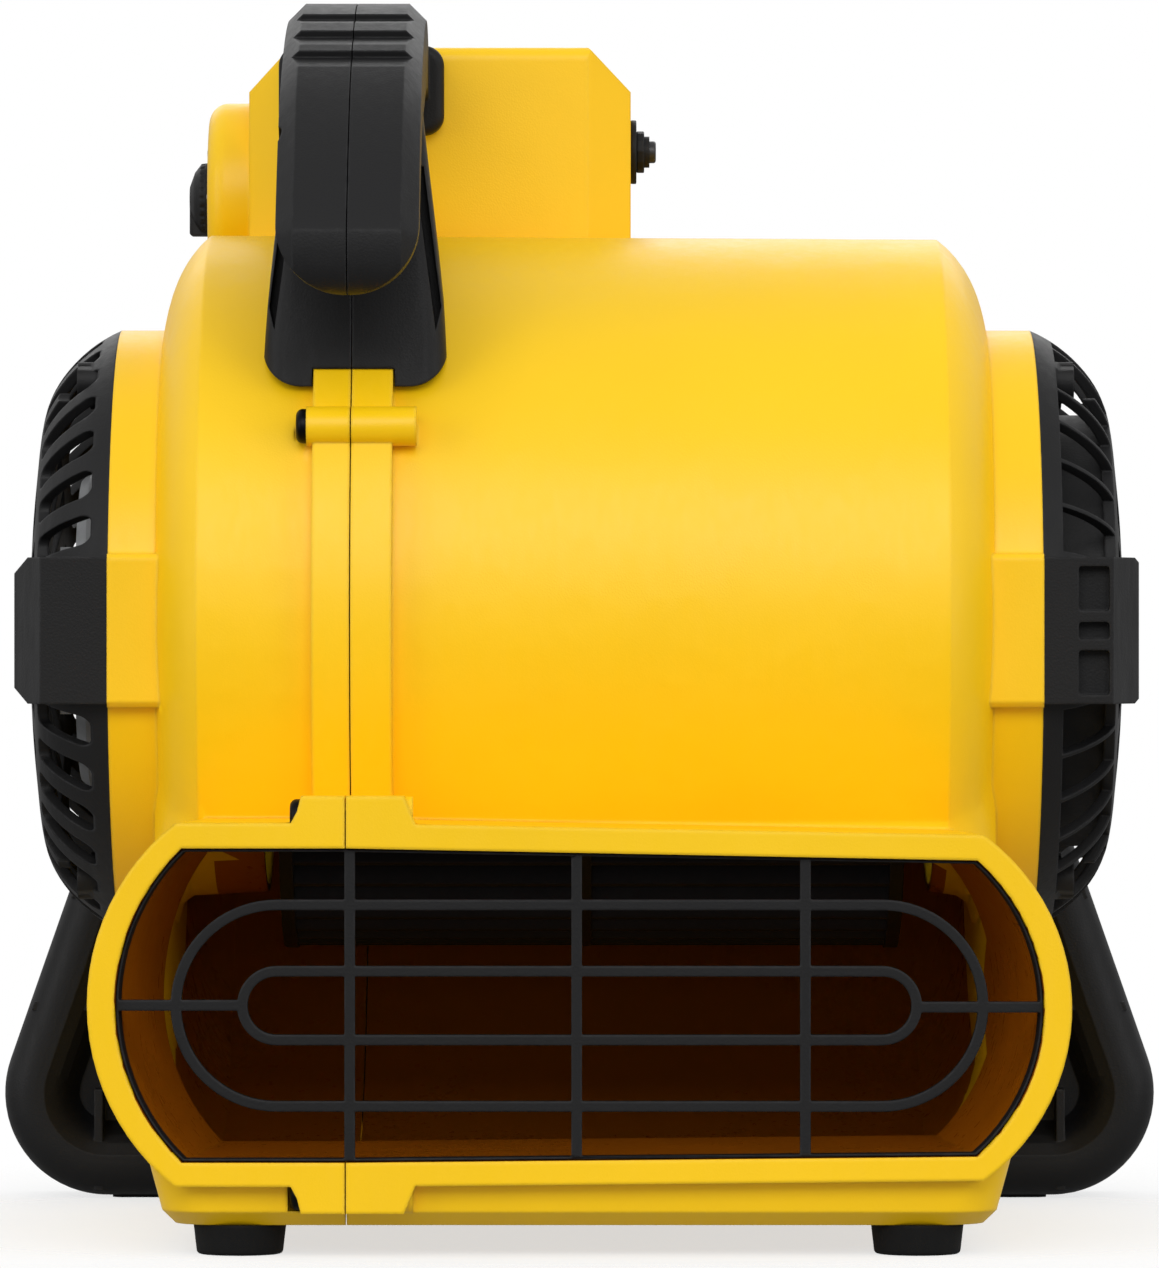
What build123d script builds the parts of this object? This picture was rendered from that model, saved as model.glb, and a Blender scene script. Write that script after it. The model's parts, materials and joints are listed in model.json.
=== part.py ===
from build123d import *
import os
from math import cos, radians, sin

# Centrifugal air mover (floor dryer), built as an assembly of separate pieces, in millimetres.
# +X runs along the fan axis, -Y is the outlet side and +Z is up.  The origin is on the floor, under the
# middle of the machine.  A two-part moulded housing, split at SEAM_X, holds the volute, the outlet duct,
# the base and the control box.  A double-inlet wheel turns on the shaft of a motor that a bracket holds in
# the left inlet.

# ------------------------------------------------------------------ driving dimensions
AXIS_Y, AXIS_Z = 10.0, 177.0  # the fan axis runs along X through this point
FRONT_Y, BACK_Y = -155.0, 155.0  # outlet rim and back of the stand
SEAM_X = -66.0  # where the two housing halves meet
SEAM_GAP = 0.35
WALL = 2.8

# Outer radius of the volute by angle, from the cut-off over the top to the floor.
VOLUTE = [(210, 111.5), (180, 113), (135, 115.5), (90, 118.5), (45, 127), (0, 137), (-45, 148), (-90, 157)]
LEFT_DRUM_X, RIGHT_DRUM_X = -110.4, 107.0  # ends of the straight drum
LEFT_FACE_X, RIGHT_FACE_X = -124.0, 121.5  # side walls beyond the rounded shoulders
LEFT_RING_X, RIGHT_RING_X = -137.0, 134.7  # faces of the inlet rings
SHOULDER = 28.6  # how far the volute narrows over a shoulder
# The shoulder's round section: shares of its depth and of its height.
SHOULDER_STEPS = [(0.0, 0.0), (0.46, 0.24), (0.77, 0.53), (0.93, 0.8), (1.0, 1.0)]
RING_R, RING_BORE_R, INLET_R = 90.0, 86.6, 76.0
LEFT_MOUTH, RIGHT_MOUTH = 31.0, 17.0  # how far the bellmouths reach in from the side walls

RIM_HALF, OPEN_HALF = 138.8, 131.2  # outlet: outer and inner half width at the bulge
RIM_FLAT, OPEN_FLAT = 114.0, 112.2  # half width of its flat top and bottom
RIM_TOP, RIM_BOTTOM = 122.7, 20.2
OPEN_TOP, OPEN_BOTTOM = 115.6, 27.0
DUCT_END_Y = 20.0
OUTLET_DRAFT = 3.4  # the deep right half is this much lower at its end

BASE_Z = 8.7
BOX_LEFT, BOX_RIGHT, BOX_TOP = -100.6, 15.6, 354.0
BOX_FRONT, BOX_BACK, BOX_FLOOR = 38.0, 125.0, 235.0
BOX_BEVEL = 13.0
POD_X, POD_R = -113.7, 29.6
KNOB_Y, KNOB_Z = 81.0, 309.7
DIAL_R, DIAL_T = 22.0, 0.8
BREAKER_Y, BREAKER_Z = 80.0, 324.3

SHAFT_R, RUN_FIT = 6.0, 0.05
WHEEL_R, WHEEL_INNER_R = 95.0, 78.0
WHEEL_LEFT, WHEEL_RIGHT, WHEEL_DISC_X = -88.0, 95.0, 2.0
BLADES = 60
MOTOR_R, MOTOR_LEFT, MOTOR_RIGHT = 48.0, -150.0, -56.0
STATOR_LEFT, STATOR_RIGHT = -118.0, -82.0

GUARD_WALL = 3.0
# The guards' dome: share of its depth, and radius there.
DOME = [(0.0, 90.0), (0.57, 78.6), (0.8, 68.0), (0.87, 57.6), (0.92, 45.6), (0.98, 21.6), (1.0, 0.0)]
LEFT_DOME, RIGHT_DOME = 27.0, 27.6
BAND_HALF = 21.3  # half the height of the bar across each guard
GUARD_SCREW_R, GUARD_ANGLES = 81.0, (65, 115, 245, 295)
BRACKET_ANGLES = (90, 210, 330)
POST_X, RIGHT_POST_X = -126.9, 123.4  # tops of the posts in the two inlets
BRACKET_LEFT, BRACKET_RIGHT = -131.0, -127.6

STAND_HALF = 179.5
STAND_TOP = 168.0
STAND_FRONT = 104.6
STAND_FLOOR, STAND_CORNER = 0.8, 32.0
PAD_HALF = (118.0, 146.0)
STAND_SEAT, FOOT_SEAT, BASE_BACK = 110.0, 3.2, 104.0

GRILLE_FRONT, GRILLE_BACK, GRILLE_Z = FRONT_Y + 1.0, FRONT_Y + 5.6, 71.2
BAR = 3.0  # width of the grille's bars
GRILLE_FRAME = 0.7

HANDLE_HALF = 20.4
HANDLE_SEAT = 12.0  # how far from the seam the screw heads sit
HANDLE_SCREWS = [(-108.0, 316.0), (-63.0, 330.0), (14.0, 347.0)]
CROWN = [(-40.0, 359.2), (-61.0, 352.6), (-79.0, 345.6)]  # the edges of the scales across the top: (y, z)
PILLAR_SHIFT = 0.9  # the pillar's middle lies this far right of the seam
PILLAR_SCREW_SEAT = 112.6

GLAND_X, GLAND_Z = -76.6, 318.0
GLAND_R, CORD_R = 6.0, 4.0
SOCKET_X, SOCKET_Z = -25.0, 311.0
SOCKET_HALF_X, SOCKET_HALF_Z = 16.7, 33.5
CAN_Y, CAN_Z = 58.0, 312.0  # the capacitor's axis
PRESS = 1.5  # travel of every button

# The motor's lead, from the motor up into the control box.
LEAD = [
    (-107.6, AXIS_Y, AXIS_Z + MOTOR_R + 0.1),
    (-107.6, AXIS_Y, 277.0),
    (-93.0, 42.0, 284.0),
    (-86.0, 54.0, 304.0),
]
LEAD_R = 2.3

SCREW_HEAD_R, SCREW_HEAD_T, SCREW_R = 5.0, 3.0, 1.9

# ------------------------------------------------------------------ small helpers
NODES = {}


def save(name, shape):
    """Keeps a node's solids under its name."""
    NODES[name] = shape
    return shape


def yz(x):
    """The sketch plane at x whose local axes are Y and Z, with its normal along +X."""
    return Plane.YZ.offset(x)


def xz(y):
    """The sketch plane at y whose local axes are X and Z, with its normal along -Y."""
    return Plane.XZ.offset(-y)


def rod_x(x0, x1, y, z, radius):
    """A round bar along X."""
    return extrude(yz(x0) * Pos(y, z) * Circle(radius), x1 - x0)


def rod_y(y0, y1, x, z, radius):
    """A round bar along Y, from the lower y0 to y1."""
    return extrude(xz(y1) * Pos(x, z) * Circle(radius), y1 - y0)


def block(x0, x1, y0, y1, z0, z1):
    """A box between two corners."""
    return Pos((x0 + x1) / 2, (y0 + y1) / 2, (z0 + z1) / 2) * Box(x1 - x0, y1 - y0, z1 - z0)


def on_axis(radius, angle):
    """(y, z) of a point at this radius and angle about the fan axis."""
    return AXIS_Y + radius * cos(radians(angle)), AXIS_Z + radius * sin(radians(angle))


def turned(profile):
    """Revolves a closed outline of (x, radius) corners about the fan axis."""
    outline = Polyline(*[(x, AXIS_Y, AXIS_Z + r) for x, r in profile], close=True)
    return revolve(make_face(outline), Axis((0, AXIS_Y, AXIS_Z), (1, 0, 0)), 360)


def joined(parts):
    """All the parts as one shape."""
    whole = parts[0]
    for part in parts[1:]:
        whole = whole + part
    return whole


def pan_screw(start, direction, length):
    """A pan-head screw: its head stands on the surface at start and its shank runs on in the direction."""
    head = Pos(0, 0, SCREW_HEAD_T / 2) * Cylinder(SCREW_HEAD_R, SCREW_HEAD_T)
    head = fillet(head.edges().sort_by(Axis.Z)[-1], 2.0)
    cross = Pos(0, 0, SCREW_HEAD_T) * (Box(5.0, 1.2, 2.4) + Box(1.2, 5.0, 2.4))
    shank = Pos(0, 0, -length / 2) * Cylinder(SCREW_R, length)
    away = tuple(-c for c in direction)
    return Plane(origin=start, z_dir=away) * (head - cross + shank)


def hole(start, direction, length, radius):
    """A round hole from start along the direction."""
    plane = Plane(origin=start, z_dir=direction)
    return extrude(plane * Circle(radius), length)


def largest(shape):
    """The largest solid of a shape, without the crumbs that a cut may leave."""
    return shape.solids().sort_by(SortBy.VOLUME)[-1]


def halves(shape, gap):
    """The shape cut in two at the seam, with a fine gap between the halves."""
    span = 800.0
    left = shape & Pos(SEAM_X - gap / 2 - span / 2, 0, 0) * Box(span, span, 2 * span)
    right = shape & Pos(SEAM_X + gap / 2 + span / 2, 0, 0) * Box(span, span, 2 * span)
    return largest(left), largest(right)


def group(parts):
    """Separate solids that share one node."""
    return Compound(children=list(parts))


# ------------------------------------------------------------------ volute, duct and base
def volute_curve(inset):
    """The volute's outline this far inside the outer skin, closed under the cut-off."""
    points = [on_axis(radius - inset, angle) for angle, radius in VOLUTE]
    start = radians(VOLUTE[0][0])
    ends = [(sin(start), -cos(start)), (-1, 0)]
    curve = Spline(*points, tangents=ends, tangent_scalars=[1.0, 1.0])
    under = (-70.0, points[-1][1])
    return curve + Polyline(points[-1], under, points[0])


def volute_face(x, inset):
    """The volute's outline as a face at x."""
    return yz(x) * make_face(volute_curve(inset))


def volute(skin):
    """The drum with its two rounded shoulders, this far inside the outer skin."""
    draft = 1.2
    ends = [volute_face(LEFT_DRUM_X + skin, skin), volute_face(RIGHT_DRUM_X - skin, skin + draft)]
    drum = loft(ends, ruled=True)
    left = loft([
        volute_face(LEFT_DRUM_X + skin + along * (LEFT_FACE_X - LEFT_DRUM_X), skin + down * SHOULDER)
        for along, down in SHOULDER_STEPS
    ])
    right = loft([
        volute_face(RIGHT_DRUM_X - skin + along * (RIGHT_FACE_X - RIGHT_DRUM_X),
                    skin + draft + down * (SHOULDER - draft))
        for along, down in SHOULDER_STEPS
    ])
    return drum + left + right


def barrel_face(y, half, flat, top, bottom, draft):
    """The outlet's outline at y: flat top and bottom, bulging ends, and a right half that gets lower."""
    middle = (top + bottom) / 2
    tops = Polyline((-flat, top), (SEAM_X, top), (flat, top - draft))
    bottoms = Polyline((flat, bottom + draft / 2), (SEAM_X, bottom), (-flat, bottom))
    right = ThreePointArc((flat, top - draft), (half, middle), (flat, bottom + draft / 2))
    left = ThreePointArc((-flat, bottom), (-half, middle), (-flat, top))
    return xz(y) * make_face(tops + right + bottoms + left)


def duct_outside():
    return loft([
        barrel_face(FRONT_Y, RIM_HALF, RIM_FLAT, RIM_TOP, RIM_BOTTOM, OUTLET_DRAFT),
        barrel_face(DUCT_END_Y, 116.0, 98.0, RIM_TOP, RIM_BOTTOM + 2.0, OUTLET_DRAFT),
    ])


def opening_face(y, inset):
    """The duct's inside at y, or this far inside it: it gets narrower towards the volute."""
    share = (y - FRONT_Y) / (DUCT_END_Y - FRONT_Y)
    half = OPEN_HALF + (111.0 - OPEN_HALF) * share - inset
    flat = OPEN_FLAT + (95.0 - OPEN_FLAT) * share - inset / 2
    return barrel_face(y, half, flat, OPEN_TOP - inset, OPEN_BOTTOM + 3.0 * share + inset, OUTLET_DRAFT)


def duct_inside():
    return loft([opening_face(FRONT_Y - 1.0, 0.0), opening_face(DUCT_END_Y, 0.0)])


def rectangle_face(z, half_x, y0, y1, corner):
    """A rounded rectangle at this height."""
    return Plane.XY.offset(z) * Pos(0, (y0 + y1) / 2) * RectangleRounded(2 * half_x, y1 - y0, corner)


def base_outside():
    lower = loft([
        rectangle_face(BASE_Z, 115.0, FRONT_Y + 12, 98.0, 14.0),
        rectangle_face(BASE_Z + 4, 118.5, FRONT_Y + 6, 101.0, 14.0),
        rectangle_face(30.0, 123.0, FRONT_Y + 3, 104.0, 14.0),
    ], ruled=True)
    return lower + extrude(rectangle_face(30.0, 123.0, FRONT_Y + 3, 104.0, 14.0), 28.0)


def base_inside():
    return extrude(rectangle_face(BASE_Z - 1, 115.0 - WALL, FRONT_Y + 12 + WALL, 98.0 - WALL, 11.0), 48.0)


# ------------------------------------------------------------------ control box
def box_outside():
    """The control box, with its two ends bevelled."""
    body = block(BOX_LEFT, BOX_RIGHT, BOX_FRONT, BOX_BACK, BOX_FLOOR, BOX_TOP)
    ends = body.edges().filter_by(Axis.Z) + body.edges().filter_by(Axis.Y).group_by(Axis.Z)[-1]
    body = chamfer(ends, BOX_BEVEL)
    along = body.edges().filter_by(Axis.X).group_by(Axis.Z)[-1]
    body = fillet(along, 4.0)
    pod = rod_x(POD_X, BOX_LEFT + 5, KNOB_Y, KNOB_Z, POD_R)
    pod = fillet(pod.edges().group_by(Axis.X)[0], 6.0)
    return body + pod


def box_inside():
    low, high = BOX_LEFT + WALL, BOX_RIGHT - WALL
    body = block(low, high, BOX_FRONT + WALL, BOX_BACK - WALL, BOX_FLOOR, BOX_TOP - WALL)
    ends = body.edges().filter_by(Axis.Z) + body.edges().filter_by(Axis.Y).group_by(Axis.Z)[-1]
    return chamfer(ends, BOX_BEVEL - 1.2)


# ------------------------------------------------------------------ housing
# Where the seam screws sit: (y, z).
SEAM_SCREWS = [
    on_axis(119.0, 150.3),
    (-147.5, 124.4),
    (-147.5, 18.0),
    on_axis(135.7, 22.0),
    on_axis(146.4, -24.0),
]
BOSS_R, BOSS_LEFT, BOSS_RIGHT = 5.7, 12.8, 19.0  # bosses reach this far from the seam
FEET = [(-96.5, -132.0), (96.0, -132.0)]
STAND_SCREWS = [(-88.0, 48.0), (-30.0, 48.0), (30.0, 48.0), (88.0, 48.0)]
HANDLE_SCREW_Z, HANDLE_SCREW_X = 342.0, 14.0
PILLAR_SCREW_ANGLE, PILLAR_SCREW_X = 127.0, 17.0


def guard_posts_at(face_x, wall_x, angles, reach):
    """Posts round an inlet, from the bellmouth out to reach, for screws."""
    inner = wall_x + (7.0 if face_x < 0 else -7.0)
    low, high = sorted((inner, reach))
    return joined([rod_x(low, high, *on_axis(GUARD_SCREW_R, angle), 4.6) for angle in angles])


def seam_rib():
    """The raised band round the volute that carries the seam."""
    return extrude(volute_face(SEAM_X - 11.0, -5.0), 23.0)


def seam_bosses():
    return joined([rod_x(SEAM_X - BOSS_LEFT, SEAM_X + BOSS_RIGHT, y, z, BOSS_R) for y, z in SEAM_SCREWS])


def rim_lugs():
    """The bumps on the outlet's rim in front of two seam screws."""
    lugs = []
    for edge, tip in ((RIM_TOP - 2.0, 130.3), (RIM_BOTTOM + 2.0, 12.6)):
        outline = Polyline(
            (SEAM_X - 16.5, edge), (SEAM_X - 13.6, edge + 0.55 * (tip - edge)), (SEAM_X - 12.5, tip),
            (SEAM_X + 16.5, tip), (SEAM_X + 20.5, edge), close=True
        )
        lugs.append(extrude(xz(FRONT_Y + 14.0) * make_face(outline), 14.0))
    return joined(lugs)


def inlet_ring(face_x, wall_x, reach):
    """The round collar that takes an inlet guard, and the bellmouth inside it."""
    out = -1 if face_x < 0 else 1
    root = wall_x - out * 6
    collar = turned([
        (root, RING_BORE_R), (face_x, RING_BORE_R), (face_x, RING_R), (root, RING_R)
    ])
    mouth = turned([
        (wall_x - out * 1.0, RING_BORE_R + 1.0),
        (wall_x - out * 0.5, RING_BORE_R - 4.0),
        (wall_x - out * 3.0, 79.5),
        (wall_x - out * 7.0, 77.0),
        (wall_x - out * reach, INLET_R),
        (wall_x - out * reach, INLET_R + 2.2),
        (wall_x - out * 8.5, 79.4),
        (wall_x - out * 5.5, 81.5),
        (wall_x - out * 3.6, RING_BORE_R + 1.0),
    ])
    pads = []
    for side in (-1, 1):
        y0, y1 = sorted((AXIS_Y + side * 70.0, AXIS_Y + side * 92.5))
        x0, x1 = sorted((face_x, root))
        pad = block(x0, x1, y0, y1, AXIS_Z - 22.3, AXIS_Z + 22.3)
        outer = pad.edges().filter_by(Axis.X).group_by(Axis.Y)[0 if side < 0 else -1]
        pads.append(chamfer(outer, 1.5))
    return collar + joined(pads), mouth


def foot_posts():
    """Posts inside the base that the feet are screwed to."""
    posts = [Pos(x, y, BASE_Z + 9.0) * Cylinder(9.0, 18.0) for x, y in FEET]
    posts += [rod_y(BASE_BACK - 14.0, BASE_BACK - 1.0, x, z, 6.0) for x, z in STAND_SCREWS]
    return joined(posts) - volute(WALL) - duct_inside()


def housing_cuts():
    """Every hole in the housing that another piece passes through."""
    cuts = []
    seat = SEAM_X - BOSS_LEFT
    for y, z in SEAM_SCREWS:
        cuts.append(rod_x(seat - 1, SEAM_X, y, z, SCREW_R + 0.4))
        cuts.append(rod_x(SEAM_X - 1, SEAM_X + 15, y, z, SCREW_R + RUN_FIT))
        cuts.append(rod_x(seat - SCREW_HEAD_T - 0.6, seat, y, z, SCREW_HEAD_R + 0.3))
    cuts += [Pos(x, y, BASE_Z + 6.0) * Cylinder(SCREW_R + RUN_FIT, 14.0) for x, y in FEET]
    cuts += [rod_y(BASE_BACK - 13.0, BASE_BACK + 1.0, x, z, SCREW_R + RUN_FIT) for x, z in STAND_SCREWS]
    cuts.append(rod_x(POD_X - 1, BOX_LEFT + 10, KNOB_Y, KNOB_Z, 5.1))
    cuts.append(rod_x(POD_X - 1, POD_X + DIAL_T + 0.1, KNOB_Y, KNOB_Z, DIAL_R + 0.2))
    cuts.append(rod_x(BOX_LEFT - 4, BOX_LEFT + 10, KNOB_Y, KNOB_Z, POD_R - 5.0))
    cuts.append(rod_x(BOX_RIGHT - 10, BOX_RIGHT + 1, BREAKER_Y, BREAKER_Z, 4.85))
    cuts.append(rod_y(BOX_BACK - 5, BOX_BACK + 1, GLAND_X, GLAND_Z, GLAND_R + 0.1))
    cuts.append(socket_block(BOX_BACK - 8, BOX_BACK + 1, 0.2))
    for side in (-1, 1):
        x = SEAM_X + side * HANDLE_SCREW_X
        cuts.append(rod_y(BOX_FRONT - 1, BOX_FRONT + 5, x, HANDLE_SCREW_Z, SCREW_R + 0.4))
        x = SEAM_X + side * PILLAR_SCREW_X
        y, z = on_axis(100.0, PILLAR_SCREW_ANGLE)
        cuts.append(hole((x, y, z), radial(PILLAR_SCREW_ANGLE), 25.0, SCREW_R + 0.4))
    for angle in GUARD_ANGLES:
        y, z = on_axis(GUARD_SCREW_R, angle)
        cuts.append(rod_x(POST_X - 1, POST_X + 11, y, z, SCREW_R + RUN_FIT))
        cuts.append(rod_x(RIGHT_POST_X - 11, RIGHT_POST_X + 1, y, z, SCREW_R + RUN_FIT))
    for angle in BRACKET_ANGLES:
        y, z = on_axis(GUARD_SCREW_R, angle)
        cuts.append(rod_x(POST_X - 1, POST_X + 11, y, z, SCREW_R + RUN_FIT))
    cuts.append(hole(LEAD[2], Vector(*LEAD[3]) - Vector(*LEAD[2]), 20.0, LEAD_R + 1.2))
    cuts.append(hole((LEAD[0][0], AXIS_Y, AXIS_Z + 70.0), (0, 0, 1), 16.0, LEAD_R + 0.7))
    return joined(cuts)


def radial(angle):
    """The direction away from the fan axis at this angle."""
    return 0, cos(radians(angle)), sin(radians(angle))


def housing():
    """Both halves of the housing, left and right."""
    outside = volute(0) + duct_outside() + base_outside() + seam_rib()
    outside = outside + (box_outside() - volute(1.0))
    rings = [
        inlet_ring(LEFT_RING_X, LEFT_FACE_X, LEFT_MOUTH),
        inlet_ring(RIGHT_RING_X, RIGHT_FACE_X, RIGHT_MOUTH),
    ]
    for collar, _ in rings:
        outside = outside + collar
    shell = outside - volute(WALL) - duct_inside()
    shell = shell - (box_inside() - volute(0))
    shell = shell - (base_inside() - volute(0) - duct_outside())
    for x0, x1 in ((LEFT_RING_X - 1, LEFT_FACE_X + 4.5), (RIGHT_FACE_X - 4.5, RIGHT_RING_X + 1)):
        shell = shell - rod_x(x0, x1, AXIS_Y, AXIS_Z, RING_BORE_R)
    for _, mouth in rings:
        shell = shell + mouth
    shell = shell + seam_bosses() + rim_lugs() + foot_posts()
    shell = shell + guard_posts_at(LEFT_RING_X, LEFT_FACE_X, GUARD_ANGLES + BRACKET_ANGLES, POST_X)
    shell = shell + guard_posts_at(RIGHT_RING_X, RIGHT_FACE_X, GUARD_ANGLES, RIGHT_POST_X)
    shell = shell - housing_cuts()
    return halves(shell, SEAM_GAP)


# ------------------------------------------------------------------ fasteners
def screws():
    """Every screw, in groups that each share a node."""
    save("housing_screws", group(
        pan_screw((SEAM_X - BOSS_LEFT, y, z), (1, 0, 0), 27.0) for y, z in SEAM_SCREWS
    ))
    for name, face_x, inward in (("left", LEFT_RING_X, 1), ("right", RIGHT_RING_X, -1)):
        seat = guard_seat(face_x)
        save("guard_screws_" + name, group(
            pan_screw((seat, *on_axis(GUARD_SCREW_R, a)), (inward, 0, 0), 24.0) for a in GUARD_ANGLES
        ))
    save("bracket_screws", group(
        pan_screw((BRACKET_LEFT - 1.5, *on_axis(GUARD_SCREW_R, a)), (1, 0, 0), 13.0) for a in BRACKET_ANGLES
    ))
    mounts = []
    for side in (-1, 1):
        x = SEAM_X + side * HANDLE_SCREW_X
        mounts.append(pan_screw((x, BOX_FRONT + WALL, HANDLE_SCREW_Z), (0, -1, 0), 9.0))
        x = SEAM_X + side * PILLAR_SCREW_X
        y, z = on_axis(PILLAR_SCREW_SEAT, PILLAR_SCREW_ANGLE)
        mounts.append(pan_screw((x, y, z), radial(PILLAR_SCREW_ANGLE), 14.0))
    save("handle_mount_screws", group(mounts))
    save("handle_screws", group(
        pan_screw((SEAM_X - HANDLE_SEAT, y, z), (1, 0, 0), 18.0) for y, z in HANDLE_SCREWS
    ))
    save("foot_screws", group(pan_screw((x, y, FOOT_SEAT), (0, 0, 1), 12.0) for x, y in FEET))
    save("rear_stand_screws", group(
        pan_screw((x, STAND_SEAT, z), (0, -1, 0), 13.0) for x, z in STAND_SCREWS
    ))


# ------------------------------------------------------------------ handle
def grip_face():
    """The grip seen from the side, from the box's front wall to the nose and its lip."""
    top = Spline((36.0, 352.0), (20.0, 361.4), (-5.0, 364.0), (-40.0, 358.5), (-76.0, 346.5), (-105.0, 330.5),
                 (-128.0, 309.0), (-142.0, 291.0))
    lip = Spline((-142.0, 291.0), (-141.5, 281.0), (-137.5, 273.6), (-131.5, 272.4), (-126.0, 279.0))
    under = Spline((-126.0, 279.0), (-115.0, 292.0), (-98.0, 305.5), (-76.0, 318.5), (-50.0, 325.0),
                   (-22.0, 331.0), (5.0, 334.5), (36.0, 331.5))
    return make_face(top + lip + under + Line((36.0, 331.5), (36.0, 352.0)))


def scale_notch(y, z):
    """The cut in front of a scale's edge on the crown: deep at the edge, then running out."""
    slope = radians(16.0 + 0.22 * (-40.0 - y))
    ahead, depth, over = 16.0, 2.6, 3.0
    edge = (y, z)
    deep = (y + depth * sin(slope), z - depth * cos(slope))
    out = (y - ahead * cos(slope), z - ahead * sin(slope))
    above = (y - over * sin(slope), z + over * cos(slope))
    return extrude(yz(SEAM_X - 30.0) * make_face(Polyline(edge, deep, out, above, close=True)), 60.0)


def grip():
    """The grip, with an eight-sided section, a round nose and three scales across its crown."""
    body = extrude(yz(SEAM_X - HANDLE_HALF) * grip_face(), 2 * HANDLE_HALF)
    rim = body.edges().group_by(Axis.X)[0] + body.edges().group_by(Axis.X)[-1]
    body = chamfer([edge for edge in rim if edge.length > 30], 5.0)
    front = xz(-90.0) * Pos(SEAM_X, 320.0) * RectangleRounded(2 * HANDLE_HALF, 95.4, HANDLE_HALF - 0.4)
    nose_zone = block(SEAM_X - 30, SEAM_X + 30, -170.0, -100.0, 250.0, 320.0)
    body = body - (nose_zone - extrude(front, 80.0))
    for y, z in CROWN:
        body = body - scale_notch(y, z)
    return body


def pillar():
    """The leg under the grip, flared towards the drum, with channels down its sides."""
    sections = [  # height, half width, front and back
        (236.0, 26.6, -86.0, -40.0), (262.0, 26.2, -82.5, -44.0), (296.0, 23.0, -78.5, -49.0),
        (330.0, 19.2, -76.0, -50.0),
    ]
    x = SEAM_X + PILLAR_SHIFT
    leg = loft([
        Plane.XY.offset(z) * Pos(x, (y0 + y1) / 2) * RectangleRounded(2 * half, y1 - y0, 7.0)
        for z, half, y0, y1 in sections
    ])
    corner = xz(-30.0) * Pos(x, 300.0) * RectangleRounded(53.4, 104.5, 11.0)
    leg = leg & extrude(corner, 70.0)
    channels = []
    for side in (-1, 1):
        outline = Polyline(
            (side * 23.4, 264.0), (side * 17.0, 312.0), (side * 19.8, 312.0), (side * 25.0, 271.0), close=True
        )
        channels.append(extrude(xz(-70.0) * Pos(x, 0) * make_face(outline), 24.0))
    return leg - joined(channels)


def handle():
    """Both halves of the loop handle."""
    foot = block(SEAM_X - 25.0, SEAM_X + 25.0, 30.5, BOX_FRONT - 0.3, 327.0, 354.0)
    foot = fillet(foot.edges().filter_by(Axis.Y), 6.0)
    foot = fillet(foot.edges().group_by(Axis.Y)[0], 2.5)
    body = grip() + pillar() + foot
    body = body - volute(-0.3)
    body = body - extrude(volute_face(SEAM_X - 11.5, -5.4), 24.0)
    holes = []
    for y, z in HANDLE_SCREWS:
        holes.append(rod_x(SEAM_X - 40.0, SEAM_X - HANDLE_SEAT, y, z, SCREW_HEAD_R + 0.4))
        holes.append(rod_x(SEAM_X - 30.0, SEAM_X, y, z, SCREW_R + 0.4))
        holes.append(rod_x(SEAM_X - 1.0, SEAM_X + 8.0, y, z, SCREW_R + RUN_FIT))
    for side in (-1, 1):
        x = SEAM_X + side * HANDLE_SCREW_X
        holes.append(rod_y(31.5, BOX_FRONT + 1.0, x, HANDLE_SCREW_Z, SCREW_R + RUN_FIT))
        x = SEAM_X + side * PILLAR_SCREW_X
        y, z = on_axis(110.0, PILLAR_SCREW_ANGLE)
        holes.append(hole((x, y, z), radial(PILLAR_SCREW_ANGLE), 20.5, SCREW_R + RUN_FIT))
    body = body - joined(holes)
    left, right = halves(body, 0.3)
    save("handle_left", left)
    save("handle_right", right)


# ------------------------------------------------------------------ inlet guards
def guard_seat(face_x):
    """Where the heads of a guard's screws sit."""
    return face_x - 7.5 if face_x < 0 else face_x + 7.5


def dome(face_x, depth, inset):
    """The solid under a guard's domed skin, this far inside it."""
    out = -1 if face_x < 0 else 1
    rim = []
    for share, radius in DOME:
        x = face_x + out * (share * depth - inset * min(1.0, share * 1.6))
        rim.append((x, AXIS_Y, AXIS_Z + max(0.0, radius - inset * (1.0 - share) * 1.1)))
    skin = Spline(*rim)
    back = Polyline(rim[-1], (face_x, AXIS_Y, AXIS_Z), rim[0])
    return revolve(make_face(skin + back), Axis((0, AXIS_Y, AXIS_Z), (1, 0, 0)), 360)


def band(face_x, depth, inset, bevel):
    """The bar across a guard, this far inside its skin, with its long outer edges bevelled."""
    out = -1 if face_x < 0 else 1
    deep = face_x + out * (depth + 1.2 - inset)
    shoulder = face_x + out * (depth - 7.5 - inset)
    half, flat = 92.4 - inset, 70.0 - inset
    outline = Polyline(
        (face_x, AXIS_Y - half), (shoulder, AXIS_Y - half + 1.5), (deep, AXIS_Y - flat),
        (deep, AXIS_Y + flat), (shoulder, AXIS_Y + half - 1.5), (face_x, AXIS_Y + half), close=True
    )
    tall = BAND_HALF - inset
    bar = extrude(Plane.XY.offset(AXIS_Z - tall) * make_face(outline), 2 * tall)
    if inset:
        return bar
    side = 0 if out < 0 else -1
    return chamfer(bar.edges().filter_by(Axis.Y).group_by(Axis.X)[side], bevel)


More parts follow.
